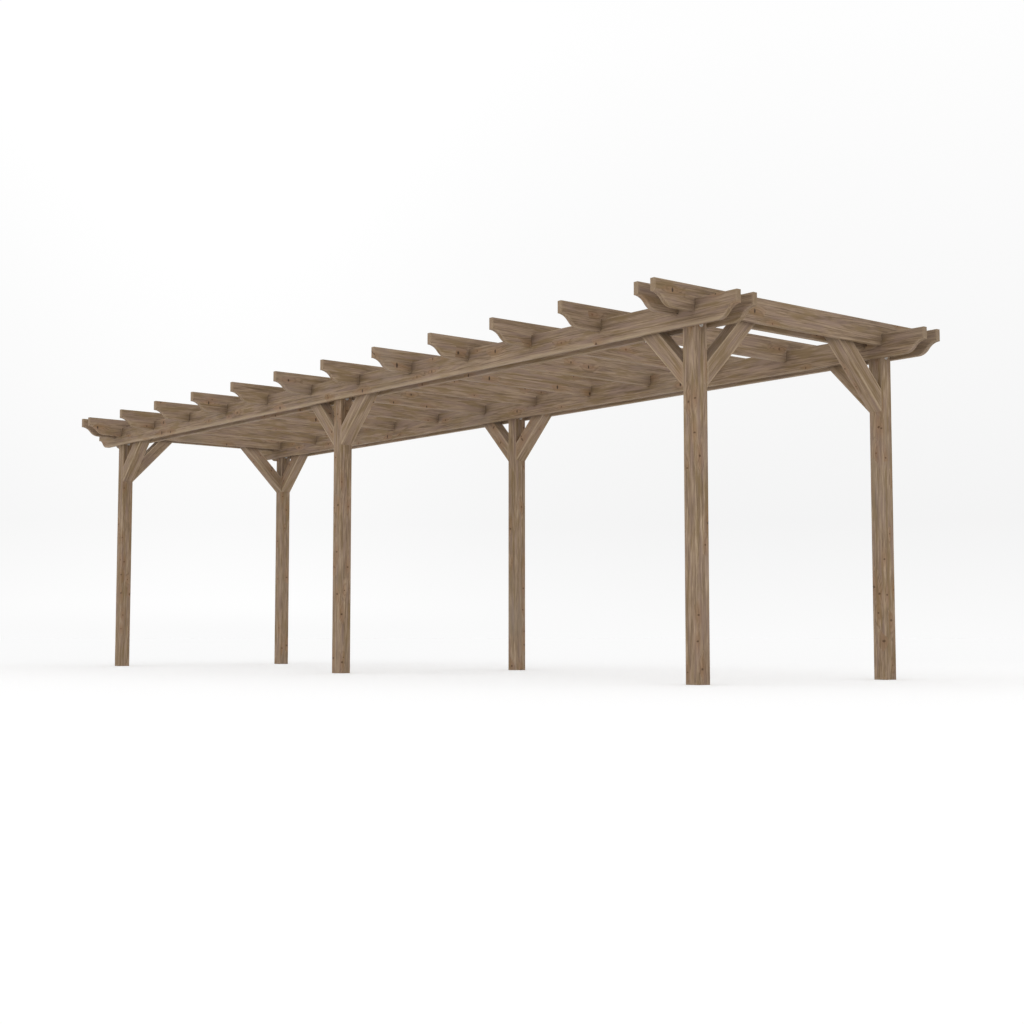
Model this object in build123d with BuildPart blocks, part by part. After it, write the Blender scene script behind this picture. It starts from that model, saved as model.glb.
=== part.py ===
"""Free-standing timber pergola: doubled beams and ogee-ended rafters on braced square posts.

Lengths are in millimetres. The origin lies on the ground in the middle of the plan, X runs along
the beams, Y from the front row of posts to the back row, and Z points up.
"""

import os
from math import cos, radians, tan

from build123d import *

os.makedirs("parts", exist_ok=True)

# Posts: three in each of two rows
post_size = 100
post_arris = 4
bay_length = 3720
row_spacing = 1720
headroom = 2072

# Beams: a board on each side of every post row
beam_thickness = 35
beam_depth = 152
beam_overhang = 410

# Rafters: one on each side of the end posts, the others evenly spaced between
rafter_thickness = 35
rafter_depth = 152
rafter_overhang = 410
rafter_spaces = 11
seat_depth = 76
seat_clearance = 1

# Sculpted ends and eased edges of beams and rafters
nose_height = 76
ogee_length = 160
board_arris = 2

# Knee braces, as wide as the posts
brace_depth = 100
brace_reach = 344
brace_angle = 45
brace_arris = 3

# Levels worked out from the sizes above
beam_top = headroom + beam_depth
rafter_underside = beam_top - seat_depth
brace_foot = headroom - brace_reach * tan(radians(brace_angle))
brace_plumb_cut = brace_depth / cos(radians(brace_angle))

# Places of the posts, and of the boards on either side of them
columns = {"left": -bay_length, "middle": 0, "right": bay_length}
rows = {"front": -row_spacing / 2, "back": row_spacing / 2}
beam_offset = (post_size + beam_thickness) / 2
rafter_offset = (post_size + rafter_thickness) / 2
beam_places = {
    "front_outer": rows["front"] - beam_offset,
    "front_inner": rows["front"] + beam_offset,
    "back_inner": rows["back"] - beam_offset,
    "back_outer": rows["back"] + beam_offset,
}


def save(piece, name):
    """Label a finished piece and write it to its own file."""
    piece.part.label = name
    export_step(piece.part, f"parts/{name}.step")


def ogee_profile(half_length, depth):
    """Side view of a board: level top, upright noses, and an S-curve under each end.

    The origin is the middle of the underside. Each S-curve is a hollow arc and a round arc of the
    same size, level where they start and meeting halfway down.
    """
    nose_foot = (half_length, depth - nose_height)
    turn = (half_length - ogee_length / 2, (depth - nose_height) / 2)
    landing = (half_length - ogee_length, 0)
    with BuildSketch() as profile:
        with BuildLine():
            Polyline((0, depth), (half_length, depth), nose_foot)
            TangentArc(nose_foot, turn, tangent=(-1, 0))
            TangentArc(landing, turn, tangent=(1, 0))
            Line(landing, (0, 0))
            mirror(about=Plane.YZ)
        make_face()
    return profile.sketch


def make_post(x, y):
    """Square post from the ground to the top of the beams, with eased corners."""
    with BuildPart() as post:
        with BuildSketch(Plane(origin=(x, y, 0))):
            Rectangle(post_size, post_size)
        extrude(amount=beam_top)
        chamfer(post.edges().filter_by(Axis.Z), length=post_arris)
    return post


def make_beam(y):
    """Beam board that lies against one side of a post row and runs past both end posts."""
    side_plane = Plane(origin=(0, y, headroom), x_dir=(1, 0, 0), z_dir=(0, -1, 0))
    with BuildPart() as beam:
        with BuildSketch(side_plane):
            add(ogee_profile(bay_length + beam_overhang, beam_depth))
        extrude(amount=beam_thickness / 2, both=True)
        chamfer(beam.faces().filter_by(Axis.Y).edges(), length=board_arris)
    return beam


def make_rafter(x):
    """Rafter board across the beams, cut over each of them so that it sits down on their tops."""
    side_plane = Plane(origin=(x, 0, rafter_underside), x_dir=(0, 1, 0), z_dir=(1, 0, 0))
    seats = [(y, 0) for y in beam_places.values()]
    with BuildPart() as rafter:
        with BuildSketch(side_plane):
            add(ogee_profile(row_spacing / 2 + rafter_overhang, rafter_depth))
        extrude(amount=rafter_thickness / 2, both=True)
        chamfer(rafter.faces().filter_by(Axis.X).edges(), length=board_arris)
        with BuildSketch(side_plane):
            with Locations(*seats):
                Rectangle(beam_thickness + seat_clearance, 2 * seat_depth)
        extrude(amount=rafter_thickness, both=True, mode=Mode.SUBTRACT)
    return rafter


def make_brace(x, y, direction, top):
    """Knee brace from a post's side up between the pair of boards that clamps its head.

    The foot is cut plumb against the post and the head is cut level at the height top.
    """
    away = Vector(*direction)
    upright = Vector(0, 0, 1)
    face_centre = Vector(x, y, 0) + away * (post_size / 2)
    side_plane = Plane(origin=face_centre, x_dir=away, z_dir=away.cross(upright))
    slope = tan(radians(brace_angle))
    shoulder = brace_foot + brace_plumb_cut
    along = away + upright * slope
    with BuildPart() as brace:
        with BuildSketch(side_plane):
            with BuildLine():
                Polyline(
                    (0, brace_foot),
                    (0, shoulder),
                    ((top - shoulder) / slope, top),
                    ((top - brace_foot) / slope, top),
                    close=True,
                )
            make_face()
        extrude(amount=post_size / 2, both=True)
        chamfer(brace.edges().filter_by(Axis(face_centre, along)), length=brace_arris)
    return brace


# Posts
for row, post_y in rows.items():
    for column, post_x in columns.items():
        save(make_post(post_x, post_y), f"post_{row}_{column}")

# Beams
for place, beam_y in beam_places.items():
    save(make_beam(beam_y), f"beam_{place}")

# Rafters: the two inside the end posts share out the spaces, and one stands outside each end
first_rafter = columns["left"] + rafter_offset
last_rafter = columns["right"] - rafter_offset
rafter_step = (last_rafter - first_rafter) / rafter_spaces
rafter_places = [columns["left"] - rafter_offset]
rafter_places += [first_rafter + rafter_step * count for count in range(rafter_spaces + 1)]
rafter_places += [columns["right"] + rafter_offset]
for number, rafter_x in enumerate(rafter_places, start=1):
    save(make_rafter(rafter_x), f"rafter_{number:02d}")

# Braces along the beams: one at each end post and one on both sides of each middle post
brace_ways = {
    "left": {"inward": (1, 0, 0)},
    "middle": {"leftward": (-1, 0, 0), "rightward": (1, 0, 0)},
    "right": {"inward": (-1, 0, 0)},
}
for row, post_y in rows.items():
    for column, ways in brace_ways.items():
        for way, direction in ways.items():
            brace = make_brace(columns[column], post_y, direction, rafter_underside)
            save(brace, f"beam_brace_{row}_{column}_{way}")

# Braces across the ends: between the pair of rafters at each end post
cross_ways = {"front": (0, 1, 0), "back": (0, -1, 0)}
for row, direction in cross_ways.items():
    for column in ("left", "right"):
        brace = make_brace(columns[column], rows[row], direction, beam_top)
        save(brace, f"rafter_brace_{row}_{column}")
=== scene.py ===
"""Looks of a free-standing timber pergola: stained softwood on every post, beam, rafter and brace.

Every timber is a slab surface worked out with numpy from the box of the frame node that it stands for, so
the places and the overall sizes come from the frame. Lengths are in metres, X runs along the beams and Z
points up.
"""

import functools
import logging
import math
import re
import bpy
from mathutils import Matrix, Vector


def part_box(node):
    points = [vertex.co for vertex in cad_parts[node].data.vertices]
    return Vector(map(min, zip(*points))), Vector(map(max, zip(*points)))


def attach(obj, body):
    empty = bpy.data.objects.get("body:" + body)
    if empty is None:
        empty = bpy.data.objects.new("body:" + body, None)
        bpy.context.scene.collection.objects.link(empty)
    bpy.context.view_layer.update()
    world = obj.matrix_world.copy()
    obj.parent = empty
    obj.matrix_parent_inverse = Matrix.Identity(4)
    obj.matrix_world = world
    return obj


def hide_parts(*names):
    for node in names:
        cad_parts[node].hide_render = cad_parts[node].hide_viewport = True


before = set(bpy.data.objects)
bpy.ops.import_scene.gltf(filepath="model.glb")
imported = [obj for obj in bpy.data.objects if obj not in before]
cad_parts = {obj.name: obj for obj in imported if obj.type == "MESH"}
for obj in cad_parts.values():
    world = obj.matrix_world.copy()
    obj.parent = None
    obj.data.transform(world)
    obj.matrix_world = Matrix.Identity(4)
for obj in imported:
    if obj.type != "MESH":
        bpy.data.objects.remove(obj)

import zlib
from dataclasses import dataclass, field
from enum import Enum
from typing import Any, Iterable, Mapping, Sequence, Union

import bpy
import numpy as np

log = logging.getLogger("pergola")
Array = np.ndarray
Colour = tuple[float, float, float]
BODY = "root"
POST_NODES = r"post_.*"
BEAM_NODES = r"beam_(front|back)_(inner|outer)"
RAFTER_NODES = r"rafter_\d+"
BRACE_NODES = r"(beam|rafter)_brace_.*"
GRAIN = "grain"
ARRIS = "arris"
END_GRAIN = "end_grain"
NOISE_MIDDLE = 0.5
PLACE_DIGITS = 4
PITH_SPREAD = (0.75, 1.25)
GRAIN_RUN = 400.0
MIX_SHARE, MIX_FIRST, MIX_SECOND = 0, 6, 7
MIX_RESULT = 2
X_AXIS, Y_AXIS, Z_AXIS = np.eye(3)


class Slot(Enum):
    """Material slots of the record that the timbers take their finish from."""

    POST = "post_timber"
    BEAM = "beam_timber"
    RAFTER = "rafter_timber"
    BRACE = "brace_timber"


class Cut(Enum):
    """How a timber was sawn: where the pith lies from its middle, as shares of (width, thickness)."""

    BOXED_HEART = (0.12, 0.10)
    FLAT_SAWN = (0.10, 2.40)
    SIDE_SAWN = (0.75, 0.35)


def srgb(red: int, green: int, blue: int) -> Colour:
    """Linear colour of an sRGB triple.

    A level v from 0 to 1 becomes v / 12.92 up to 0.04045, and ((v + 0.055) / 1.055)^2.4 above.

    Args:
        red: Red level, from 0 to 255.
        green: Green level.
        blue: Blue level.

    Returns:
        The three linear levels, from 0 to 1.
    """
    levels = np.array((red, green, blue)) / 255
    linear = np.where(levels <= 0.04045, levels / 12.92, ((levels + 0.055) / 1.055) ** 2.4)
    return tuple(float(level) for level in linear)


class Socket:
    """An output socket that takes Python operators: each operator adds one Math node to its graph."""

    def __init__(self, graph: "Graph", link: bpy.types.NodeSocket) -> None:
        """Keep the graph that the socket belongs to and the socket itself."""
        self.graph = graph
        self.link = link

    def __add__(self, other: "Number") -> "Socket":
        """Sum."""
        return self.graph.math("ADD", self, other)

    __radd__ = __add__

    def __sub__(self, other: "Number") -> "Socket":
        """Difference."""
        return self.graph.math("SUBTRACT", self, other)

    def __rsub__(self, other: "Number") -> "Socket":
        """Difference with this socket on the right."""
        return self.graph.math("SUBTRACT", other, self)

    def __mul__(self, other: "Number") -> "Socket":
        """Product."""
        return self.graph.math("MULTIPLY", self, other)

    __rmul__ = __mul__

    def __truediv__(self, other: "Number") -> "Socket":
        """Quotient."""
        return self.graph.math("DIVIDE", self, other)

    def __rtruediv__(self, other: "Number") -> "Socket":
        """Quotient with this socket below."""
        return self.graph.math("DIVIDE", other, self)

    def __pow__(self, power: "Number") -> "Socket":
        """Power."""
        return self.graph.math("POWER", self, power)

    def __rpow__(self, base: "Number") -> "Socket":
        """Power with this socket as the exponent."""
        return self.graph.math("POWER", base, self)

    def __neg__(self) -> "Socket":
        """Negative."""
        return self.graph.math("MULTIPLY", self, -1.0)

    def __gt__(self, other: "Number") -> "Socket":
        """One where this is greater, else zero."""
        return self.graph.math("GREATER_THAN", self, other)

    def __lt__(self, other: "Number") -> "Socket":
        """One where this is less, else zero."""
        return self.graph.math("LESS_THAN", self, other)

    def root(self) -> "Socket":
        """Square root."""
        return self.graph.math("SQRT", self)

    def sine(self) -> "Socket":
        """Sine of an angle in radians."""
        return self.graph.math("SINE", self)

    def exponential(self) -> "Socket":
        """Natural exponential."""
        return self.graph.math("EXPONENT", self)

    def smooth(self, low: "Number", high: "Number") -> "Socket":
        """Smooth step from 0 at low to 1 at high.

        Args:
            low: Value at which the step begins.
            high: Value at which it ends.

        Returns:
            The step, from 0 to 1.
        """
        sockets = {"Value": self, "From Min": low, "From Max": high}
        step = self.graph.node("ShaderNodeMapRange", {"interpolation_type": "SMOOTHSTEP"}, sockets)
        return step["Result"]

    def between(self, low: float, high: float) -> "Socket":
        """Value that runs from low to high while this runs from 0 to 1."""
        return self * (high - low) + low

    def parts(self) -> tuple["Socket", "Socket", "Socket"]:
        """The three components of a vector or colour socket."""
        split = self.graph.node("ShaderNodeSeparateXYZ", {}, {"Vector": self})
        return split["X"], split["Y"], split["Z"]


Number = Union[float, Socket]


class Node:
    """A shader node whose outputs are read by name or number as sockets with operators."""

    def __init__(self, graph: "Graph", item: bpy.types.Node) -> None:
        """Keep the graph and the node itself."""
        self.graph = graph
        self.item = item

    def __getitem__(self, name: Union[str, int]) -> Socket:
        """Output of that name or number."""
        return Socket(self.graph, self.item.outputs[name])


class Graph:
    """A node tree that is filled by expressions and by one method for every other node."""

    def __init__(self, owner: Union[bpy.types.Material, bpy.types.World]) -> None:
        """Empty the node tree of a material or world and keep it.

        Args:
            owner: Material or world that gets the nodes.
        """
        owner.use_nodes = True
        self.tree = owner.node_tree
        self.tree.nodes.clear()

    def node(self, kind: str, settings: Mapping[str, Any], sockets: Mapping[Union[str, int], Any]) -> Node:
        """Add a node, set its settings first, then its sockets.

        Args:
            kind: Type name of the node.
            settings: Properties by name; stops gives a colour ramp its (position, colour) pairs.
            sockets: Values, or sockets to link from, by input name or number.

        Returns:
            The new node.
        """
        item = self.tree.nodes.new(kind)
        for name, value in settings.items():
            if name == "stops":
                self._set_stops(item.color_ramp, value)
            else:
                setattr(item, name, value)
        for name, value in sockets.items():
            if isinstance(value, Socket):
                self.tree.links.new(value.link, item.inputs[name])
            else:
                item.inputs[name].default_value = value
        return Node(self, item)

    @staticmethod
    def _set_stops(ramp: bpy.types.ColorRamp, stops: Sequence[tuple[float, Colour]]) -> None:
        """Give a colour ramp these stops.

        Args:
            ramp: Ramp of a new colour ramp node, which holds two stops.
            stops: Positions with their colours, in rising order.
        """
        while len(ramp.elements) < len(stops):
            ramp.elements.new(1.0)
        for element, (position, colour) in zip(ramp.elements, stops):
            element.position = position
            element.color = (*colour, 1.0)

    def math(self, operation: str, *values: Number) -> Socket:
        """Add a Math node.

        Args:
            operation: Name of the operation.
            values: Its operands, in order.

        Returns:
            Its result.
        """
        return self.node("ShaderNodeMath", {"operation": operation}, dict(enumerate(values)))["Value"]

    def vector(self, x: Number, y: Number, z: Number) -> Socket:
        """Vector of three numbers."""
        return self.node("ShaderNodeCombineXYZ", {}, {"X": x, "Y": y, "Z": z})["Vector"]

    def noise(self, place: Socket, detail: float, roughness: float = 0.5) -> Socket:
        """Smooth noise, about 0.5 on average, at a place that is already scaled.

        Args:
            place: Vector to read the noise at.
            detail: Number of finer layers.
            roughness: Strength of the finer layers.

        Returns:
            Noise from 0 to 1.
        """
        sockets = {"Vector": place, "Scale": 1.0, "Detail": detail, "Roughness": roughness}
        return self.node("ShaderNodeTexNoise", {"noise_dimensions": "3D"}, sockets)["Fac"]

    def mix(self, share: Number, first: Union[Colour, Socket], second: Union[Colour, Socket]) -> Socket:
        """Mix of two colours.

        Args:
            share: Share of the second colour.
            first: Colour or socket.
            second: Colour or socket.

        Returns:
            The mixed colour.
        """
        pair = [(*c, 1.0) if isinstance(c, tuple) else c for c in (first, second)]
        sockets = {MIX_SHARE: share, MIX_FIRST: pair[0], MIX_SECOND: pair[1]}
        return self.node("ShaderNodeMix", {"data_type": "RGBA"}, sockets)[MIX_RESULT]

    def attribute(self, name: str, output: str) -> Socket:
        """Attribute of the mesh, read as that output."""
        return self.node("ShaderNodeAttribute", {"attribute_name": name}, {})[output]

    def finish(self, kind: str, shader: Socket) -> None:
        """Link a shader to a new output node of that kind."""
        self.node(kind, {}, {"Surface": shader})


@dataclass(frozen=True)
class Crossings:
    """Places where other timbers cross a board, with painted shade in the corners that the crossing
    timbers shut off from the light.
    """

    axis: int = 0
    centres: tuple[float, ...] = ()
    half: float = 0.0
    edge: float = 0.0
    fade: float = 0.0
    veil: float = 0.0
    reach: float = 0.044

    @classmethod
    def of(cls, pattern: str, axis: int, edge: float, fade: float, veil: float) -> "Crossings":
        """Crossings of a board with the nodes that fit a pattern and lie alike on both sides of zero.

        Args:
            pattern: Pattern of the crossing nodes' names.
            axis: Axis that the board runs along: 0 for X, 1 for Y.
            edge: Level of the other timbers' edge.
            fade: Height over which the painted shade comes in at that edge, negative where it lies below
                it.
            veil: Share of painted shade that lies between the crossings too.

        Returns:
            The crossings.
        """
        boxes = np.array([corners_of(name) for name in nodes_like(pattern)])
        middles = np.abs(boxes[:, :, axis].mean(axis=1))
        centres = sorted({round(float(middle), PLACE_DIGITS) for middle in middles})
        half = float(np.ptp(boxes[0, :, axis])) / 2
        return cls(axis, tuple(centres), half, edge, fade, veil)

    def painted_shade(self, g: Graph, place: Socket) -> Number:
        """Share of painted shade: veil + exp(-d / reach) at the distance d from the side of the nearest
        timber.

        Args:
            g: Graph that gets the nodes.
            place: Object coordinates.

        Returns:
            The share, which the veil may carry past 1.
        """
        if not self.centres:
            return 0.0
        parts = place.parts()
        from_middle = g.math("ABSOLUTE", parts[self.axis])
        gaps = [g.math("ABSOLUTE", from_middle - centre) for centre in self.centres]
        nearest = functools.reduce(lambda first, second: g.math("MINIMUM", first, second), gaps)
        away = g.math("MAXIMUM", nearest - self.half, 0.0)
        level = (parts[2] - self.edge) * (1 / self.fade)
        # painted shade: darkest at the sides of the crossing timbers, fading away from them and in at
        # their edge
        return ((-away * (1 / self.reach)).exponential() + self.veil) * level.smooth(0.0, 1.0)


@dataclass(frozen=True)
class ClampedHeads:
    """Brace heads between two boards, with painted shade under the boards' lower edges."""

    under_beams: float
    under_rafters: float
    inner_side: float
    tolerance: float = 0.002
    reach: float = 0.014
    strength: float = 1.5

    def painted_shade(self, g: Graph, place: Socket) -> Number:
        """Share of painted shade: exp(-d / reach) at the depth d below the edge of the boards that clamp
        the head.

        Args:
            g: Graph that gets the nodes.
            place: Object coordinates.

        Returns:
            The share, which the strength may carry past 1.
        """
        x, _, z = place.parts()
        across = g.math("ABSOLUTE", x) > self.inner_side - self.tolerance
        level = across * (self.under_rafters - self.under_beams) + self.under_beams
        below = g.math("MAXIMUM", level - z, 0.0)
        # painted shade: darkest just under the clamping boards' edge, fading downwards
        return (-below * (1 / self.reach)).exponential() * self.strength


@dataclass(frozen=True)
class PaintedEdgeLight:
    """Painted light: a paler strip along the lower edge of the outer beam faces, and under it."""

    level: float = 0.0
    face: float = 0.0
    height: float = 0.0
    full_share: float = 0.3
    arris: float = 0.003
    underside: float = 0.026
    strength: float = 0.44

    def painted_light(self, g: Graph, place: Socket) -> Number:
        """Share of the painted light: falls off upwards and inwards from the lower edge of the outer
        faces.

        Args:
            g: Graph that gets the nodes.
            place: Object coordinates.

        Returns:
            The share, from 0 to 1.
        """
        if not self.height:
            return 0.0
        _, y, z = place.parts()
        up = (z - self.level) * (1 / self.height)
        edge = self.face - self.arris
        outwards = g.math("ABSOLUTE", y).smooth(edge - self.underside, edge)
        # painted light: paler at the lower edge, fading upwards and inwards
        return (1 - up.smooth(self.full_share, 1.0)) * outwards * self.strength


@dataclass(frozen=True)
class Layer:
    """Noise over a timber's own coordinates: its waves along the grain, outwards and round the pith."""

    along: float
    outward: float
    around: float
    detail: float = 2.0
    roughness: float = 0.6
    weight: float = 0.0
    start: tuple[float, float] = (0.0, 0.0)

    def read(self, g: Graph, s: Socket, r: Socket, a: Socket, unit: float = 1.0) -> Socket:
        """Noise of this layer.

        Args:
            g: Graph that gets the nodes.
            s: Place along the grain.
            r: Distance from the pith.
            a: Angle round the pith.
            unit: Length that the waves along the grain are counted over.

        Returns:
            Noise from 0 to 1.
        """
        along = s * (self.along / unit)
        around = a * self.around
        if any(self.start):
            along = along + self.start[0]
            around = around + self.start[1]
        return g.noise(g.vector(along, r * self.outward, around), self.detail, self.roughness)

    def lean(self, noise: Socket) -> Socket:
        """How far the noise departs from its middle, times the layer's weight."""
        return (noise - NOISE_MIDDLE) * self.weight


@dataclass(frozen=True)
class Figure:
    """Sockets of the wood's figure: its tone, the noise of three layers and the late wood of its rings."""

    tone: Socket
    streak: Socket
    fibre: Socket
    hue: Socket
    late: Socket


@dataclass(frozen=True)
class KnotMasks:
    """Sockets of the nearest knot: its heart, the swirl round it, its radius and whether it is rusty."""

    heart: Socket
    halo: Socket
    size: Socket
    rust: Socket


@dataclass(frozen=True)
class Knots:
    """Branch knots, which run outwards from the pith: spots on a random lattice over (s, a)."""

    share: float = 0.31
    small: float = 0.0042
    large: float = 0.0104
    roundness: float = 0.40
    pitch: float = 0.17
    turn: float = 0.95
    rim: tuple[float, float] = (0.55, 1.15)
    ragged: float = 0.7
    ragged_waves: float = 130.0
    ragged_turns: float = 9.0
    swirl: float = 1.6
    halo_fall: float = 0.10
    halo_along: float = 0.08
    halo_shares: tuple[float, float] = (0.28, 0.62)
    halo_streaks: tuple[float, float] = (0.36, 0.60)
    heart_share: float = 0.94
    rusty: tuple[float, float] = (0.80, 0.92)
    heart_tone: Colour = srgb(62, 45, 30)
    rust_tone: Colour = srgb(108, 74, 50)
    halo_tone: Colour = srgb(138, 104, 72)

    def masks(self, g: Graph, s: Socket, r: Socket, a: Socket) -> KnotMasks:
        """Masks of the nearest knot.

        With ds along the grain and da round the pith from its middle, counted in its radii, the heart ends
        where sqrt(ds^2 + (k da)^2) with a ragged noise is about 1. The halo is exp(-f (h ds^2 + da^2)).

        Args:
            g: Graph that gets the nodes.
            s: Place along the grain.
            r: Distance from the pith.
            a: Angle round the pith.

        Returns:
            The masks.
        """
        across = s * (1 / self.pitch)
        around = a * (1 / self.turn)
        lattice = g.node(
            "ShaderNodeTexVoronoi",
            {"voronoi_dimensions": "2D", "feature": "F1"},
            {"Vector": g.vector(across, around, 0.0), "Scale": 1.0, "Randomness": 1.0},
        )
        near_s, near_a, _ = lattice["Position"].parts()
        chance, spread, kind = lattice["Color"].parts()
        rag_place = g.vector(s * self.ragged_waves, a * self.ragged_turns, r * self.ragged_waves)
        rag = g.noise(rag_place, detail=1.0) - NOISE_MIDDLE
        size = spread.between(self.small, self.large)
        there = 1 - (chance > self.share)
        ds = (across - near_s) * self.pitch / size
        da = (around - near_a) * self.turn * r / size
        tall = da * kind.between(self.roundness, 1.0)
        reach = (ds * ds + tall * tall).root() + rag * self.ragged
        heart = there * (1 - reach.smooth(*self.rim))
        halo = there * ((ds * ds * self.halo_along + da * da) * -self.halo_fall).exponential()
        return KnotMasks(heart, halo, size, kind.smooth(*self.rusty))

    def stain(self, g: Graph, colour: Socket, masks: KnotMasks, streak: Socket) -> Socket:
        """Lay the halos and the hearts over the wood.

        Args:
            g: Graph that gets the nodes.
            colour: Colour of the wood.
            masks: Masks of the knots.
            streak: Streak noise, which breaks the halos up.

        Returns:
            The knotty wood's colour.
        """
        halo = masks.halo * streak.smooth(*self.halo_streaks).between(*self.halo_shares)
        colour = g.mix(halo, colour, self.halo_tone)
        heart = g.mix(masks.rust, self.heart_tone, self.rust_tone)
        return g.mix(masks.heart * self.heart_share, colour, heart)


@dataclass(frozen=True)
class Checks:
    """Seasoning checks: fine cracks along the grain, where a slow noise passes its middle level."""

    share: float = 0.18
    width: float = 0.009
    fade: float = 0.12
    darkness: float = 0.75
    line_waves: float = 0.45
    line_turns: float = 3.6
    line_seed: float = 21.0
    gap_waves: float = 2.4
    gap_turns: float = 2.0
    gap_start: float = 3.0
    gap_seed: float = 33.0

    def mask(self, g: Graph, s: Socket, a: Socket) -> Socket:
        """Mask of the cracks: a thin line, opened here and there by a second noise.

        Args:
            g: Graph that gets the nodes.
            s: Place along the grain.
            a: Angle round the pith.

        Returns:
            The mask, from 0 to 1.
        """
        line_place = g.vector(s * self.line_waves, a * self.line_turns, self.line_seed)
        gap_place = g.vector(s * self.gap_waves + self.gap_start, a * self.gap_turns, self.gap_seed)
        level = g.noise(line_place, detail=1.0, roughness=0.4)
        opened = g.noise(gap_place, detail=0.0)
        line = 1 - g.math("ABSOLUTE", level - NOISE_MIDDLE).smooth(0.0, self.width)
        return line * opened.smooth(1 - self.share, 1 - self.share + self.fade)


@dataclass(frozen=True)
class Relief:
    """Heights of the wood's features in shares of the bump's depth, checks as grooves."""

    late: float = 0.5
    fibre: float = 0.6
    streak: float = 0.5
    knot: float = 0.6
    check: float = 2.5
    depth: float = 0.0007
    strength: float = 0.6


@dataclass(frozen=True)
class Sheen:
    """Roughness of the matt stain, and how far late wood, fibres and knots change it."""

    stain: float = 0.80
    late: float = 0.08
    fibre: float = 0.18
    knot: float = 0.14
    specular: float = 0.32


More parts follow.
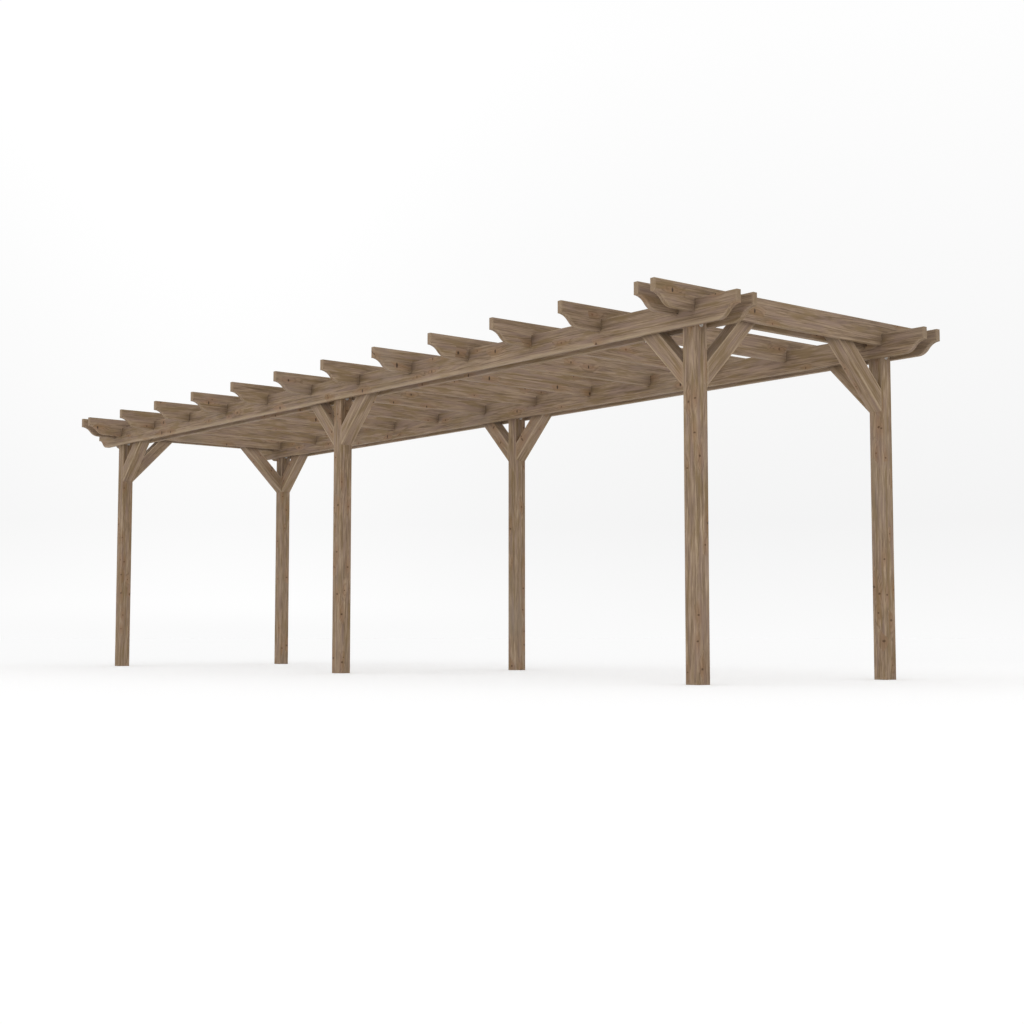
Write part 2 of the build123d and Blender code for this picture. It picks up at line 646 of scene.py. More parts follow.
@dataclass(frozen=True)
class StainedSoftwood:
    """Knotty softwood under a grey-brown stain that has begun to weather.

    The growth rings lie round the pith, which wanders along the timber. With s along the grain, r the
    distance from the pith and a the angle round it, knots push r outwards round themselves, and rings and
    streaks are waves and noise over (s, r, a).
    """

    slot: Slot
    # places of the painted shade where timbers cross or clamp a brace head
    crossings: Union[Crossings, ClampedHeads] = Crossings()
    # places of the painted light along the outer beams' lower edges
    edge_light: PaintedEdgeLight = PaintedEdgeLight()
    knots: Knots = Knots()
    checks: Checks = Checks()
    relief: Relief = Relief()
    sheen: Sheen = Sheen()
    dark: Colour = srgb(102, 83, 63)
    middle: Colour = srgb(138, 116, 94)
    light: Colour = srgb(164, 142, 118)
    palest: Colour = srgb(185, 163, 138)
    tone_stops: tuple[float, ...] = (0.34, 0.49, 0.65, 0.80)
    contrast: float = 1.0
    lightness: float = 0.52
    lilac: Colour = srgb(137, 115, 104)
    lilac_share: float = 0.48
    tawny: Colour = srgb(124, 102, 69)
    tawny_share: float = 0.66
    hue_step: tuple[float, float] = (0.50, 0.66)
    silver: Colour = srgb(146, 133, 118)
    silver_share: float = 0.45
    silver_step: tuple[float, float] = (0.50, 0.78)
    # pale tone of the worn arrises, also used as painted light along the beams' lower edges
    worn_and_lit_edge_tone: Colour = srgb(180, 159, 133)
    arris_wear: float = 0.30
    least_wear: float = 0.4
    wear_step: tuple[float, float] = (0.38, 0.62)
    end_tone: Colour = srgb(148, 127, 103)
    end_share: float = 0.50
    # darker tone of the painted shade where timbers cross, broken up by the patch noise
    painted_shade_tone: Colour = srgb(88, 72, 55)
    painted_shade_shares: tuple[float, float] = (0.10, 0.70)
    pith_wander: float = 0.020
    drift_waves: float = 0.55
    drift_seed: tuple[float, float] = (3.1, 0.0)
    sway_waves: float = 0.70
    sway_seed: tuple[float, float] = (9.7, 4.0)
    ring_width: float = 0.0046
    ring_sway: float = 5.0
    late_sharpness: float = 3.5
    late_tone: float = 0.10
    streak_length: float = 0.19
    broad: Layer = Layer(along=0.42, outward=40.0, around=3.0, weight=0.42)
    streak: Layer = Layer(along=1.0, outward=165.0, around=13.0, detail=3.0, roughness=0.65, weight=0.52)
    fibre: Layer = Layer(along=14.0, outward=520.0, around=42.0, weight=0.24)
    hue: Layer = Layer(along=4.0, outward=22.0, around=2.4, start=(7.0, 5.0))

    def material(self) -> bpy.types.Material:
        """Make the material of this finish.

        Returns:
            The new material.
        """
        made = bpy.data.materials.new(self.slot.value)
        g = Graph(made)
        s, u, w = g.attribute(GRAIN, "Vector").parts()
        u = u + self._wander(g, s, self.drift_waves, self.drift_seed)
        w = w + self._wander(g, s, self.sway_waves, self.sway_seed)
        r = (u * u + w * w).root()
        a = g.math("ARCTAN2", w, u)
        knots = self.knots.masks(g, s, r, a)
        figure = self._figure(g, s, r + knots.halo * knots.size * self.knots.swirl, a)
        check = self.checks.mask(g, s, a)

        colour = self._weather(g, self._stain(g, figure), figure.streak)
        colour = self.knots.stain(g, colour, knots, figure.streak)
        colour = g.mix(check * self.checks.darkness, colour, self.knots.heart_tone)
        sockets = {
            "Base Color": colour,
            "Roughness": self._roughness(figure, knots),
            "Normal": self._bump(g, figure, knots, check),
            "Specular IOR Level": self.sheen.specular,
        }
        g.finish("ShaderNodeOutputMaterial", g.node("ShaderNodeBsdfPrincipled", {}, sockets)["BSDF"])
        return made

    def _wander(self, g: Graph, s: Socket, waves: float, seed: tuple[float, float]) -> Socket:
        """How far the pith lies off its mean place in one direction.

        Args:
            g: Graph that gets the nodes.
            s: Place along the grain.
            waves: Waves per metre.
            seed: Place of the noise in its other two directions.

        Returns:
            The offset.
        """
        noise = g.noise(g.vector(s * waves, *seed), detail=1.0)
        return (noise - NOISE_MIDDLE) * (2 * self.pith_wander)

    def _figure(self, g: Graph, s: Socket, r: Socket, a: Socket) -> Figure:
        """Rings, streaks and fibres of the wood.

        Args:
            g: Graph that gets the nodes.
            s: Place along the grain.
            r: Distance from the pith, pushed outwards round the knots.
            a: Angle round the pith.

        Returns:
            The figure's sockets.
        """
        broad = self.broad.read(g, s, r, a, self.streak_length)
        streak = self.streak.read(g, s, r, a, self.streak_length)
        fibre = self.fibre.read(g, s, r, a)
        hue = self.hue.read(g, s, r, a)
        phase = r * (math.tau / self.ring_width) + broad * self.ring_sway
        late = ((phase.sine() + 1.0) * 0.5) ** self.late_sharpness
        tone = self.broad.lean(broad) + self.streak.lean(streak) + self.fibre.lean(fibre)
        return Figure(tone - late * self.late_tone, streak, fibre, hue, late)

    def _stain(self, g: Graph, figure: Figure) -> Socket:
        """Grey-brown stain by the wood's tone, with lilac and tawny patches.

        Args:
            g: Graph that gets the nodes.
            figure: The wood's figure.

        Returns:
            The stained colour.
        """
        stops = list(zip(self.tone_stops, (self.dark, self.middle, self.light, self.palest)))
        level = figure.tone * self.contrast + self.lightness
        colour = g.node("ShaderNodeValToRGB", {"stops": stops}, {"Fac": level})["Color"]
        colour = g.mix(figure.hue.smooth(*self.hue_step) * self.lilac_share, colour, self.lilac)
        return g.mix((1 - figure.hue).smooth(*self.hue_step) * self.tawny_share, colour, self.tawny)

    def _weather(self, g: Graph, colour: Socket, streak: Socket) -> Socket:
        """Silvering in patches, paler worn arrises and end grain, painted light along the beams' lower
        edges, and painted shade where timbers cross or clamp a brace head.

        Args:
            g: Graph that gets the nodes.
            colour: Colour of the stained wood.
            streak: Streak noise, which breaks the wear up.

        Returns:
            The weathered colour.
        """
        place = g.node("ShaderNodeTexCoord", {}, {})["Object"]
        patch = g.noise(place, detail=3.0, roughness=0.6)
        colour = g.mix(patch.smooth(*self.silver_step) * self.silver_share, colour, self.silver)
        broken = streak.smooth(*self.wear_step).between(self.least_wear, 1.0)
        colour = g.mix(g.attribute(ARRIS, "Fac") * broken * self.arris_wear, colour, self.worn_and_lit_edge_tone)
        # painted light: a paler band along the lower edge of the outer beam faces
        edge_lit = self.edge_light.painted_light(g, place) * (streak + NOISE_MIDDLE)
        colour = g.mix(edge_lit, colour, self.worn_and_lit_edge_tone)
        colour = g.mix(g.attribute(END_GRAIN, "Fac") * self.end_share, colour, self.end_tone)
        # painted shade: darker in the corners where timbers cross and under the boards that clamp the
        # brace heads
        painted_shade = self.crossings.painted_shade(g, place) * patch.between(*self.painted_shade_shares)
        return g.mix(painted_shade, colour, self.painted_shade_tone)

    def _bump(self, g: Graph, figure: Figure, knots: KnotMasks, check: Socket) -> Socket:
        """Normal over the late wood, the fibres, the streaks, the knots and the checks.

        Args:
            g: Graph that gets the nodes.
            figure: The wood's figure.
            knots: Masks of the knots.
            check: Mask of the checks.

        Returns:
            The bumped normal.
        """
        part = self.relief
        height = figure.late * part.late + figure.fibre * part.fibre + figure.streak * part.streak
        height = height + knots.heart * part.knot - check * part.check
        sockets = {"Height": height, "Distance": part.depth, "Strength": part.strength}
        return g.node("ShaderNodeBump", {}, sockets)["Normal"]

    def _roughness(self, figure: Figure, knots: KnotMasks) -> Socket:
        """Roughness of the stained wood, less on late wood and knots.

        Args:
            figure: The wood's figure.
            knots: Masks of the knots.

        Returns:
            The roughness.
        """
        part = self.sheen
        fibre = (figure.fibre - NOISE_MIDDLE) * part.fibre
        return part.stain - figure.late * part.late + fibre - knots.heart * part.knot


@dataclass(frozen=True)
class ZincPlate:
    """Zinc plating that has gone dull: grey metal with faint crystal spangle."""

    pale: Colour = srgb(210, 206, 200)
    dull: Colour = srgb(174, 170, 164)
    spangle: float = 420.0
    roughness: tuple[float, float] = (0.42, 0.62)
    metallic: float = 0.60

    def material(self) -> bpy.types.Material:
        """Make the material of this finish.

        Returns:
            The new material.
        """
        made = bpy.data.materials.new("zinc_plate")
        g = Graph(made)
        place = g.node("ShaderNodeTexCoord", {}, {})["Object"]
        crystals = g.node("ShaderNodeTexVoronoi", {}, {"Vector": place, "Scale": self.spangle})
        flakes = crystals["Color"].parts()[0]
        sockets = {
            "Base Color": g.mix(flakes, self.dull, self.pale),
            "Roughness": flakes.between(*self.roughness),
            "Metallic": self.metallic,
        }
        g.finish("ShaderNodeOutputMaterial", g.node("ShaderNodeBsdfPrincipled", {}, sockets)["BSDF"])
        return made


@dataclass
class Outline:
    """Closed side view of a timber, counter-clockwise, in the plane of its two first axes.

    Segment i runs from point i to the next one. A segment of an arc takes its normals from its two points,
    and a straight one has its own.
    """

    points: Array
    normals: Array
    curved: Array
    ends: Array

    def segment_normals(self) -> tuple[Array, Array]:
        """Outward normals at the start and end of each segment: (dy, -dx) over its length if straight.

        Returns:
            Two arrays of unit vectors.
        """
        step = np.roll(self.points, -1, axis=0) - self.points
        flat = np.stack((step[:, 1], -step[:, 0]), axis=1)
        flat /= np.linalg.norm(flat, axis=1, keepdims=True)
        curved = self.curved[:, None]
        following = np.roll(self.normals, -1, axis=0)
        return np.where(curved, self.normals, flat), np.where(curved, following, flat)

    @classmethod
    def polygon(cls, points: Array, ends: Sequence[bool]) -> "Outline":
        """Outline of straight segments.

        Args:
            points: Corners.
            ends: For each segment, whether it is cut across the grain.

        Returns:
            The outline.
        """
        corners = np.asarray(points, float)
        straight = np.zeros(len(corners), bool)
        return cls(corners, np.zeros_like(corners), straight, np.array(ends, bool))

    @classmethod
    def board(cls, half: float, depth: float, nose: float, ogee: float, seats: Array, seat_depth: float,
              steps: int) -> "Outline":
        """Board with an S-curve under each end and square seats cut into its underside.

        Each S-curve rises by h over the length l in two equal arcs of radius R = (l^2 + h^2) / 4h, level
        where they start: at angle t the first is (R sin t, R - R cos t) from the landing, the second the
        same from the nose with both signs turned, and the outward normal of both is (sin t, -cos t).

        Args:
            half: Half of the board's length.
            depth: Depth of the board.
            nose: Height of the upright nose.
            ogee: Length of each S-curve.
            seats: Low and high edge of each seat along the board, one row each, in rising order.
            seat_depth: Depth of the seats.
            steps: Number of segments of each arc.

        Returns:
            The outline, from the first seat, or the right S-curve if there is none, to the left landing.
        """
        rise = depth - nose
        radius = (ogee**2 + rise**2) / (4 * rise)
        sweep = math.asin(ogee / 2 / radius)
        t = np.linspace(0, sweep, steps + 1)
        belly = np.stack((half - ogee + radius * np.sin(t), radius - radius * np.cos(t)), axis=1)
        hollow = np.stack((half - radius * np.sin(t), rise - radius + radius * np.cos(t)), axis=1)[::-1]
        right = np.concatenate((belly, hollow[1:]))
        turn = np.concatenate((t, t[::-1][1:]))
        right_normals = np.stack((np.sin(turn), -np.cos(turn)), axis=1)
        mirror = np.array((-1.0, 1.0))
        low, high = seats.T
        zero, deep = np.zeros(len(seats)), np.full(len(seats), seat_depth)
        notch = np.stack((np.stack((low, low, high, high), 1), np.stack((zero, deep, deep, zero), 1)), 2)
        notch = notch.reshape(-1, 2)
        corners = np.array(((half, depth), (-half, depth)))
        points = np.concatenate((notch, right, corners, right[::-1] * mirror))
        flat = np.zeros((len(notch), 2))
        normals = np.concatenate((flat, right_normals, np.zeros((2, 2)), right_normals[::-1] * mirror))
        arcs = len(right) - 1
        curved = np.repeat((False, True, False, True, False), (len(notch), arcs, 3, arcs, 1))
        ends = np.repeat((False, True, False, True, False), (len(notch) + arcs, 1, 1, 1, arcs + 1))
        return cls(points, normals, curved, ends)


@dataclass(frozen=True)
class Arris:
    """Rounded corner along a timber, and how far its wear reaches over the side faces and the edges."""

    radius: float
    on_sides: float
    on_edges: float


@dataclass
class Slab:
    """Timber as a surface of two parameters: its outline, and the edge profile carried round it.

    The profile starts on one side face, turns over a rounded arris, crosses the edge and ends on the other
    side face. At outline point i and profile step j the place is p_i - d_j m_i, y_j across, where m_i is
    the mitre vector of the two normals that meet there: (n + n') / (1 + n.n'). The side faces close as one
    face each.
    """

    outline: Outline
    thickness: float
    arris: Arris
    axes: Array
    origin: Array
    along: Array
    arc_steps: int = 4

    def profile(self) -> tuple[Array, Array, Array, Array]:
        """Edge profile from the first side face to the second.

        With t from -90 to 0 degrees the rounding lies r + r sin t from the side face, inset r - r cos t.

        Returns:
            Place across, inset from the outline, angle of the normal, and how near the arris each step is.
        """
        turn = np.linspace(-math.pi / 2, 0, self.arc_steps + 1)
        side = -self.thickness / 2
        radius = self.arris.radius
        rounding = side + radius * (1 + np.sin(turn))
        across = np.concatenate(((side,), rounding, (side + self.arris.on_edges,)))
        inset = np.concatenate(((self.arris.on_sides,), radius * (1 - np.cos(turn)), (0.0,)))
        angle = np.concatenate(((-math.pi / 2,), turn, (0.0,)))
        near = np.concatenate(((0.0,), np.ones_like(turn), (0.0,)))
        return (np.concatenate((across, -across[::-1])), np.concatenate((inset, inset[::-1])),
                np.concatenate((angle, -angle[::-1])), np.concatenate((near, near[::-1])))

    def mesh(self, name: str, pith: Array, shift: float) -> bpy.types.Mesh:
        """Work the surface out and put it into a mesh with its grain attributes.

        Args:
            name: Name of the mesh.
            pith: Place of the pith from the middle of the section, in metres.
            shift: Length added to the place along the grain.

        Returns:
            The mesh, closed, with outward faces.
        """
        across, inset, angle, near = self.profile()
        start, end = self.outline.segment_normals()
        before = np.roll(end, 1, axis=0)
        mitre = (before + start) / (1 + np.sum(before * start, axis=1, keepdims=True))
        count, steps = len(mitre), len(across)
        flat = self.outline.points[:, None] - mitre[:, None] * inset[None, :, None]
        local = np.concatenate((flat, np.broadcast_to(across[None, :, None], (count, steps, 1))), axis=2)
        places = self.origin + local.reshape(-1, 3) @ self.axes

        ring, step = np.meshgrid(np.arange(count), np.arange(steps - 1), indexing="ij")
        after = (ring + 1) % count
        quads = np.stack((ring * steps + step, after * steps + step, after * steps + step + 1,
                          ring * steps + step + 1), axis=2).reshape(-1, 4)
        rim = np.arange(count) * steps
        loops = np.concatenate((quads.ravel(), rim[::-1], rim + steps - 1))
        sizes = np.concatenate((np.full(len(quads), 4), (count, count)))

        def tilted(normal: Array, turn: Array) -> Array:
            """Normals turned from the outline's own towards the side faces: (n cos t, sin t).

            Args:
                normal: The outline's normals.
                turn: Angles of the profile.

            Returns:
                One normal for each pair of them.
            """
            lean = np.cos(turn)[None, :, None] * normal[:, None]
            rise = np.broadcast_to(np.sin(turn)[None, :, None], (count, len(turn), 1))
            return np.concatenate((lean, rise), axis=2)

        corners = (
            tilted(start, angle[:-1]),
            tilted(end, angle[:-1]),
            tilted(end, angle[1:]),
            tilted(start, angle[1:]),
        )
        sides = np.repeat(((0.0, 0.0, -1.0), (0.0, 0.0, 1.0)), count, axis=0)
        corner_normals = np.concatenate((np.stack(corners, axis=2).reshape(-1, 3), sides)) @ self.axes

        made = bpy.data.meshes.new(name)
        fill_mesh(made, places, loops, sizes)
        made.normals_split_custom_set(corner_normals)
        self._mark(made, places, near, pith, shift, steps - 1)
        return made

    def _mark(self, made: bpy.types.Mesh, places: Array, near: Array, pith: Array, shift: float,
              faces_per_segment: int) -> None:
        """Store the grain coordinates, the nearness to an arris and the end-grain faces.

        Args:
            made: Mesh that gets the attributes.
            places: Its points.
            near: Nearness to an arris of each profile step.
            pith: Place of the pith from the middle of the section.
            shift: Length added along the grain.
            faces_per_segment: Number of faces that each outline segment has.
        """
        side = self.axes[2]
        width = np.cross(side, self.along)
        middle = (places.min(axis=0) + places.max(axis=0)) / 2
        grain_axes = np.stack((self.along, width, side), axis=1)
        grain = (places - middle) @ grain_axes + np.array((shift, -pith[0], -pith[1]))
        store(made, GRAIN, "FLOAT_VECTOR", "POINT", "vector", grain)
        store(made, ARRIS, "FLOAT", "POINT", "value", np.tile(near, len(self.outline.points)))
        cut = np.concatenate((np.repeat(self.outline.ends, faces_per_segment), (False, False)))
        store(made, END_GRAIN, "FLOAT", "FACE", "value", cut.astype(float))


def fill_mesh(made: bpy.types.Mesh, places: Array, loops: Array, sizes: Array) -> None:
    """Put points and faces into an empty mesh as whole arrays, shaded smooth.

    Args:
        made: Mesh to fill.
        places: Points, one row each.
        loops: Point numbers of all faces, one face after the other.
        sizes: Number of points of each face.
    """
    made.vertices.add(len(places))
    made.vertices.foreach_set("co", np.ascontiguousarray(places, np.float32).ravel())
    made.loops.add(len(loops))
    made.loops.foreach_set("vertex_index", loops.astype(np.int32))
    made.polygons.add(len(sizes))
    starts = np.concatenate(((0,), np.cumsum(sizes)[:-1]))
    made.polygons.foreach_set("loop_start", starts.astype(np.int32))
    made.update(calc_edges=True)
    made.validate()
    made.shade_smooth()


def store(made: bpy.types.Mesh, name: str, kind: str, domain: str, item: str, values: Array) -> None:
    """Store an attribute from a whole array.

    Args:
        made: Mesh that gets the attribute.
        name: Name of the attribute.
        kind: Its data type.
        domain: What it belongs to, such as POINT.
        item: Property that holds each value.
        values: The values, in the domain's order.
    """
    attribute = made.attributes.new(name, kind, domain)
    attribute.data.foreach_set(item, np.ascontiguousarray(values, np.float32).ravel())


def nodes_like(pattern: str) -> list[str]:
    """Names of the frame's nodes that fit a pattern, in order."""
    return sorted(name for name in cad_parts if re.fullmatch(pattern, name))


def corners_of(node: str) -> tuple[Array, Array]:
    """Lowest and highest corner of a frame node, as arrays."""
    low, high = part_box(node)
    return np.array(low), np.array(high)


def add_piece(name: str, made: bpy.types.Mesh, material: bpy.types.Material) -> bpy.types.Object:
    """Link a mesh to the scene as a piece that rides on the frame's only body.

    Args:
        name: Name of the piece.
        made: Its mesh, with its place in it.
        material: Its material.

    Returns:
        The new object.
    """
    piece = bpy.data.objects.new(name, made)
    made.materials.append(material)
    bpy.context.scene.collection.objects.link(piece)
    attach(piece, BODY)
    log.info("%s: %d points, %d faces", name, len(made.vertices), len(made.polygons))
    return piece


@dataclass
class TimberGroup:
    """A sub-assembly of like timbers: the frame nodes that it stands for and what they share."""

    finish: StainedSoftwood
    cut: Cut
    arris: Arris
    pattern: str

    def slab(self, node: str) -> Slab:
        """Surface of one timber of the group."""
        raise NotImplementedError(node)

    def build(self) -> list[bpy.types.Object]:
        """Build and dress every timber of the group.

        Returns:
            The new pieces.
        """
        material = self.finish.material()
        pieces = []
        for node in nodes_like(self.pattern):
            slab = self.slab(node)
            draw = np.random.default_rng(zlib.crc32(node.encode()))
            width = float(np.ptp(self._across(slab)))
            side = draw.choice((-1, 1), 2) * draw.uniform(*PITH_SPREAD, 2)
            pith = np.array(self.cut.value) * (width, slab.thickness) * side
            made = slab.mesh(f"{node}_timber", pith, draw.uniform(0, GRAIN_RUN))
            piece = add_piece(f"{node}_timber", made, material)
            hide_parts(node)
            pieces.append(piece)
        return pieces

    @staticmethod
    def _across(slab: Slab) -> Array:
        """Places of an outline's corners across the grain."""
        flat_along = slab.axes[:2] @ slab.along
        return slab.outline.points @ np.array((-flat_along[1], flat_along[0]))


@dataclass
class Posts(TimberGroup):
    """Square posts from the ground to the top of the beams."""

    def slab(self, node: str) -> Slab:
        """Upright rectangle, as thick as it is wide.

        Args:
            node: Frame node of the post.

        Returns:
            Its surface.
        """
        low, high = corners_of(node)
        size = high - low
        corners = np.array(((0, 0), (size[2], 0), (size[2], size[0]), (0, size[0])))
        outline = Outline.polygon(corners, (False, True, False, True))
        axes = np.stack((Z_AXIS, X_AXIS, Y_AXIS))
        origin = np.array((low[0], (low[1] + high[1]) / 2, low[2]))
        return Slab(outline, size[1], self.arris, axes, origin, Z_AXIS)


@dataclass
class Boards(TimberGroup):
    """Boards on edge with an S-curve under each end: the beams, and the rafters with their seats."""

    run: Array = field(default_factory=lambda: X_AXIS)
    nose: float = 0.076
    ogee: float = 0.160
    seat_depth: float = 0.076
    seat_clearance: float = 0.001
    seated_on: str = ""
    arc_steps: int = 12

    def slab(self, node: str) -> Slab:
        """Board with its S-curves and a seat over each board that it crosses.

        Args:
            node: Frame node of the board.

        Returns:
            Its surface.
        """
        low, high = corners_of(node)
        middle = (low + high) / 2
        half = float((high - middle) @ self.run)
        side = np.cross(self.run, Z_AXIS)
        thickness = float(np.abs((high - low) @ side))
        seats = self._seats(float(middle @ self.run))
        depth = high[2] - low[2]
        outline = Outline.board(half, depth, self.nose, self.ogee, seats, self.seat_depth, self.arc_steps)
        axes = np.stack((self.run, Z_AXIS, side))
        origin = np.array((middle[0], middle[1], low[2]))
        return Slab(outline, thickness, self.arris, axes, origin, self.run)

    def _seats(self, middle: float) -> Array:
        """Low and high edge of each seat along the board, from its middle.

        Args:
            middle: Place of the board's middle along its run.

        Returns:
            One row for each board that it sits on, in rising order.
        """
        carriers = nodes_like(self.seated_on)
        edges = [[float(corner @ self.run) for corner in corners_of(name)] for name in carriers]
        room = np.array((-self.seat_clearance, self.seat_clearance)) / 2
        return np.array(sorted(edges)).reshape(-1, 2) - middle + room


@dataclass
class Braces(TimberGroup):
    """Knee braces at 45 degrees: foot cut plumb against a post, head cut level between two boards."""

    depth: float = 0.100

    def slab(self, node: str) -> Slab:
        """Slanted strip with a plumb foot and a level head.

        Args:
            node: Frame node of the brace.

        Returns:
            Its surface.
        """
        low, high = corners_of(node)
        size = high - low
        middle = (low + high) / 2
        reach = size[2]
        run = X_AXIS if abs(size[0] - reach) < abs(size[1] - reach) else Y_AXIS
        away = run * self._direction(run, middle)
        side = np.cross(away, Z_AXIS)
        shoulder = self.depth * math.sqrt(2)
        corners = np.array(((0, 0), (reach, reach), (reach - shoulder, reach), (0, shoulder)))
        outline = Outline.polygon(corners, (False, True, False, True))
        origin = middle - away * reach / 2 - Z_AXIS * reach / 2
        along = (away + Z_AXIS) / math.sqrt(2)
        thickness = float(np.abs(size @ side))
        axes = np.stack((away, Z_AXIS, side))
        return Slab(outline, thickness, self.arris, axes, origin, along)

    @staticmethod
    def _direction(run: Array, middle: Array) -> float:
        """Side of its post that a brace leans to, along the run: away from the nearest post.

        Args:
            run: Level axis of the brace.
            middle: Middle of the brace.

        Returns:
            1 or -1.
        """
        centres = np.array([np.mean(corners_of(name), axis=0) for name in nodes_like(POST_NODES)])
        nearest = centres[np.argmin(np.linalg.norm((centres - middle)[:, :2], axis=1))]
        return float(np.sign((middle - nearest) @ run))


@dataclass
class PostScrews:
    """A hexagon-headed screw on a washer in the right-hand face of each post, at the foot of the beams."""

    finish: ZincPlate
    height: float = 2.086
    across_flats: float = 0.019
    head_height: float = 0.008
    washer_radius: float = 0.016
    washer_height: float = 0.002
    crown_share: float = 0.93
    chamfer_share: float = 0.80
    around: int = 48

    def build(self) -> bpy.types.Object:
        """Build all the heads as one mesh of closed surfaces.

        Round the screw at angle t the head is a hexagon of radius f / cos(t wrapped to +-30 degrees), cut
        at the crown by a cone, and the washer is a disc. The rings follow each other outwards.

        Returns:
            The new piece.
        """
        t = np.arange(self.around) * (math.tau / self.around)
        flat = self.across_flats / 2
        hexagon = flat / np.cos((t + math.pi / 6) % (math.pi / 3) - math.pi / 6)
        disc = np.full_like(t, self.washer_radius)
        crown = np.full_like(t, flat * self.crown_share)
        top = self.washer_height + self.head_height
        shoulder = self.washer_height + self.head_height * self.chamfer_share
        radii = np.stack((disc, disc, hexagon, hexagon, crown))
        levels = np.array((0.0, self.washer_height, self.washer_height, shoulder, top))
        boxes = np.array([corners_of(name) for name in nodes_like(POST_NODES)])
        heights = np.full(len(boxes), self.height)
        seats = np.stack((boxes[:, 1, 0], boxes[:, :, 1].mean(axis=1), heights), axis=1)
        outwards = np.broadcast_to(levels[:, None], radii.shape)
        ring = np.stack((outwards, radii * np.cos(t), radii * np.sin(t)), axis=2)
        places = (seats[:, None, None] + ring[None]).reshape(-1, 3)

        rings, around = radii.shape
        counts = (np.arange(len(boxes)), np.arange(rings - 1), np.arange(around))
        screw, row, step = np.meshgrid(*counts, indexing="ij")
        base = (screw * rings + row) * around
        after = (step + 1) % around
        quads = np.stack((base + step, base + after, base + around + after, base + around + step), axis=3)
        first = np.arange(len(boxes))[:, None] * rings * around
        back = first + np.arange(around)[::-1]
        face = first + (rings - 1) * around + np.arange(around)
        loops = np.concatenate((quads.ravel(), back.ravel(), face.ravel()))
        sizes = np.concatenate((np.full(quads.size // 4, 4), np.full(2 * len(boxes), around)))
        made = bpy.data.meshes.new("post_screws")
        fill_mesh(made, places, loops, sizes)
        made.shade_flat()
        return add_piece("post_screws", made, self.finish.material())


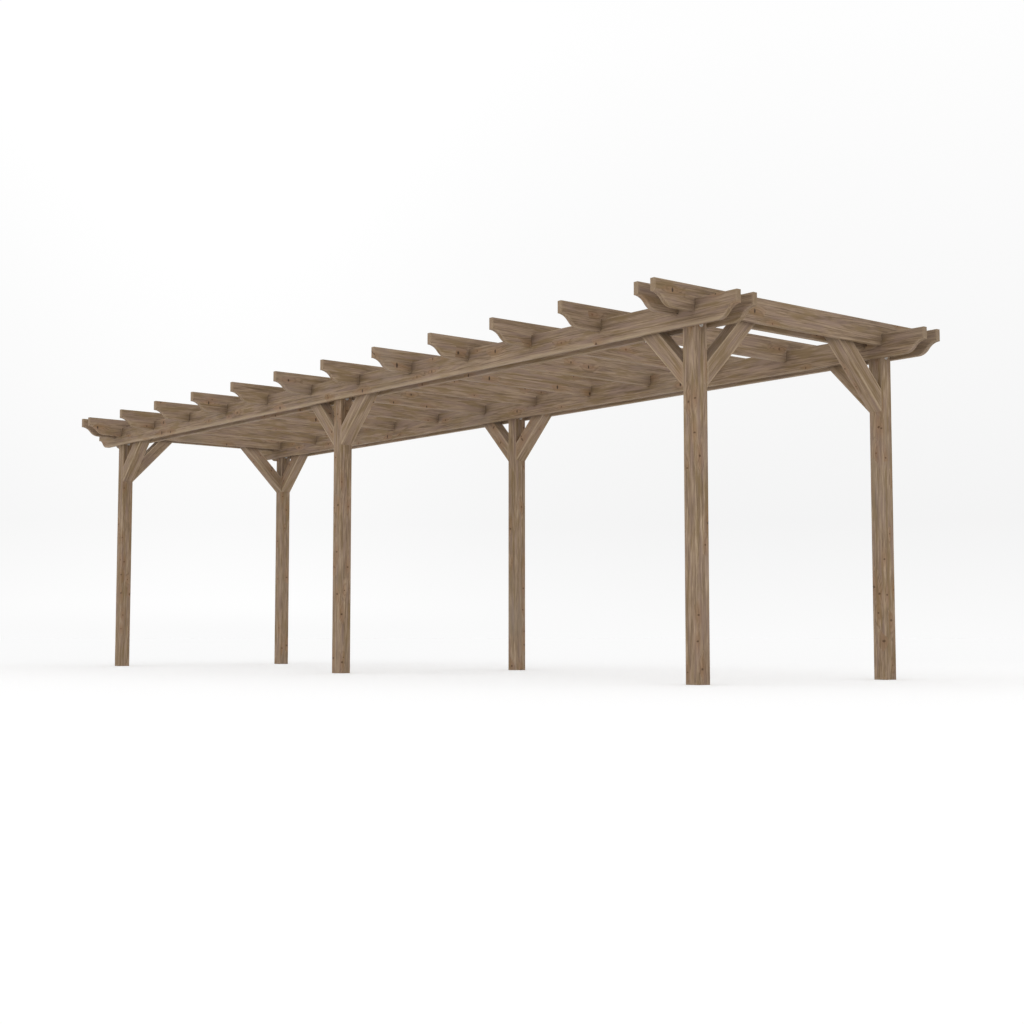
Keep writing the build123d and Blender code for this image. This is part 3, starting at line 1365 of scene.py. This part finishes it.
@dataclass
class Studio:
    """Pale floor, soft light from all round and the camera of the photograph."""

    camera_place: tuple[float, float, float] = (10.1185, -7.482, 0.279)
    camera_pitch: float = 94.472
    camera_turn: float = 50.67
    lens: float = 55.75
    sensor_width: float = 36.0
    clip_end: float = 1000.0
    floor_half: float = 150.0
    floor_pale: float = 0.955
    floor_fade: tuple[float, float] = (-7.0, 5.0)
    floor_rim: tuple[float, float] = (60.0, 16.0)
    floor_bounce: float = 0.885
    sky_strength: float = 0.87
    sky_lean: float = 0.14
    sky_zenith: float = 0.34
    horizon: float = 0.962
    backdrop_rises: tuple[float, ...] = (0.50, 0.535, 0.57, 0.68)
    backdrop_levels: tuple[float, ...] = (0.962, 0.905, 0.930, 0.990)
    glow_strength: float = 0.053
    glow_place: float = -0.175
    glow_width: float = 0.158
    glow_rise: float = 0.022

    def build(self) -> None:
        """Make the floor, the light and the camera."""
        bpy.context.scene.view_settings.view_transform = "Standard"
        self._floor()
        self._world()
        self._camera()

    def _sky_on_floor(self) -> float:
        """Light on a floor under a dome of strength s (1 + q sin e) at elevation e: s (1 + 2q / 3)."""
        return self.sky_strength * (1 + self.sky_zenith * 2 / 3)

    def _floor(self) -> None:
        """Level square floor that shows palest in front and throws less light back up than it shows."""
        half = self.floor_half
        places = np.array(((-half, -half, 0), (half, -half, 0), (half, half, 0), (-half, half, 0)), float)
        made = bpy.data.meshes.new("floor")
        fill_mesh(made, places, np.arange(4), np.array((4,)))
        floor = bpy.data.objects.new("floor", made)
        bpy.context.scene.collection.objects.link(floor)
        material = bpy.data.materials.new("floor_paper")
        g = Graph(material)
        x, y, _ = g.node("ShaderNodeTexCoord", {}, {})["Object"].parts()
        turn = math.radians(self.camera_turn)
        front = (x * math.sin(turn) - y * math.cos(turn)).smooth(*self.floor_fade)
        near = (x * x + y * y).root().smooth(*self.floor_rim)
        far = self.horizon / self._sky_on_floor()
        shown = g.mix(front * near, (far,) * 3, (self.floor_pale,) * 3)
        dim = g.node("ShaderNodeBsdfDiffuse", {}, {"Color": (*(self.floor_bounce,) * 3, 1.0)})["BSDF"]
        pale = g.node("ShaderNodeBsdfDiffuse", {}, {"Color": shown})["BSDF"]
        both = g.node("ShaderNodeMixShader", {}, {0: self._seen(g), 1: dim, 2: pale})["Shader"]
        g.finish("ShaderNodeOutputMaterial", both)
        made.materials.append(material)

    @staticmethod
    def _seen(g: Graph) -> Socket:
        """One for rays from the camera and for mirrored or refracted ones, else zero.

        Args:
            g: Graph that gets the node.

        Returns:
            The test's value.
        """
        path = g.node("ShaderNodeLightPath", {}, {})
        seen = g.math("MAXIMUM", path["Is Camera Ray"], path["Is Glossy Ray"])
        return g.math("MAXIMUM", seen, path["Is Transmission Ray"])

    def _world(self) -> None:
        """Near-white backdrop for the camera, and soft light from the same dome for everything else.

        The light along the direction (x, y, z) is s (1 - l y + q z). The backdrop's levels follow
        (1 + sin e) / 2 at elevation e. A soft glow on it, which dies away at the horizon, is
        exp(-((d - place) / width)^2), with d the sideways share of the direction.
        """
        world = bpy.data.worlds.new("studio")
        bpy.context.scene.world = world
        g = Graph(world)
        right, back, rise = g.node("ShaderNodeTexCoord", {}, {})["Generated"].parts()
        stops = [(place, (level,) * 3) for place, level in zip(self.backdrop_rises, self.backdrop_levels)]
        shown = g.node("ShaderNodeValToRGB", {"stops": stops}, {"Fac": rise * 0.5 + 0.5})["Color"]
        turn = math.radians(self.camera_turn)
        sideways = right * math.cos(turn) + back * math.sin(turn)
        aside = (sideways - self.glow_place) * (1 / self.glow_width)
        glow = (-(aside * aside)).exponential() * rise.smooth(0.0, self.glow_rise)
        bright = glow * self.glow_strength + 1.0
        seen = g.node("ShaderNodeBackground", {}, {"Color": shown, "Strength": bright})
        strength = (1 - back * self.sky_lean + rise * self.sky_zenith) * self.sky_strength
        light = g.node("ShaderNodeBackground", {}, {"Color": (1, 1, 1, 1), "Strength": strength})
        pair = {0: self._seen(g), 1: light["Background"], 2: seen["Background"]}
        g.finish("ShaderNodeOutputWorld", g.node("ShaderNodeMixShader", {}, pair)["Shader"])

    def _camera(self) -> None:
        """Camera low beside the front right corner, looking a little up."""
        data = bpy.data.cameras.new("camera")
        data.lens = self.lens
        data.sensor_width = self.sensor_width
        data.clip_end = self.clip_end
        camera = bpy.data.objects.new("camera", data)
        camera.location = self.camera_place
        camera.rotation_euler = (math.radians(self.camera_pitch), 0.0, math.radians(self.camera_turn))
        bpy.context.scene.collection.objects.link(camera)
        bpy.context.scene.camera = camera


def timber_groups() -> tuple[TimberGroup, ...]:
    """Posts, beams, rafters and braces with their finishes, whose painted shade and painted edge light
    follow the frame's places.

    Returns:
        The four groups, ready to build.
    """
    beam_low, beam_high = corners_of("beam_back_outer")
    beam_foot = float(beam_low[2])
    rafter_underside = float(corners_of("rafter_01")[0][2])
    inner_side = float(corners_of("post_back_right")[0][0])
    # painted shade where timbers cross and under the boards over the brace heads, and painted light along
    # the outer beams' lower edges
    over_beams = Crossings.of(RAFTER_NODES, axis=0, edge=rafter_underside, fade=0.02, veil=0.32)
    under_rafters = Crossings.of(BEAM_NODES, axis=1, edge=float(beam_high[2]), fade=-0.02, veil=0.0)
    edge_light = PaintedEdgeLight(beam_foot, float(beam_high[1]), height=0.027)
    heads = ClampedHeads(beam_foot, rafter_underside, inner_side)
    soft_heart = srgb(84, 60, 38)
    post_finish = StainedSoftwood(
        Slot.POST,
        knots=Knots(share=0.44, small=0.0050, large=0.0096, roundness=0.75, heart_tone=soft_heart),
        checks=Checks(share=0.36),
        dark=srgb(112, 92, 70),
        contrast=1.55,
        lightness=0.54,
        tawny_share=0.75,
        arris_wear=0.28,
        streak_length=0.12,
    )
    beam_finish = StainedSoftwood(Slot.BEAM, over_beams, edge_light, lightness=0.505)
    rafter_finish = StainedSoftwood(Slot.RAFTER, under_rafters)
    brace_knots = Knots(share=0.18, roundness=0.75, heart_tone=soft_heart)
    brace_finish = StainedSoftwood(Slot.BRACE, heads, knots=brace_knots, lightness=0.55, arris_wear=0.85)
    post_arris = Arris(radius=0.004, on_sides=0.014, on_edges=0.005)
    board_arris = Arris(radius=0.002, on_sides=0.012, on_edges=0.0116)
    brace_arris = Arris(radius=0.003, on_sides=0.012, on_edges=0.012)
    return (
        Posts(post_finish, Cut.BOXED_HEART, post_arris, POST_NODES),
        Boards(beam_finish, Cut.FLAT_SAWN, board_arris, BEAM_NODES),
        Boards(rafter_finish, Cut.FLAT_SAWN, board_arris, RAFTER_NODES, run=Y_AXIS, seated_on=BEAM_NODES),
        Braces(brace_finish, Cut.SIDE_SAWN, brace_arris, BRACE_NODES),
    )


def main() -> None:
    """Build the timbers, the fixings and the studio."""
    logging.basicConfig(level=logging.INFO, format="%(name)s: %(message)s")
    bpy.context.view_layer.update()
    for group in timber_groups():
        pieces = group.build()
        log.info("%s: %d timbers", group.finish.slot.value, len(pieces))
    PostScrews(ZincPlate()).build()
    Studio().build()


if __name__ == "__main__":
    main()
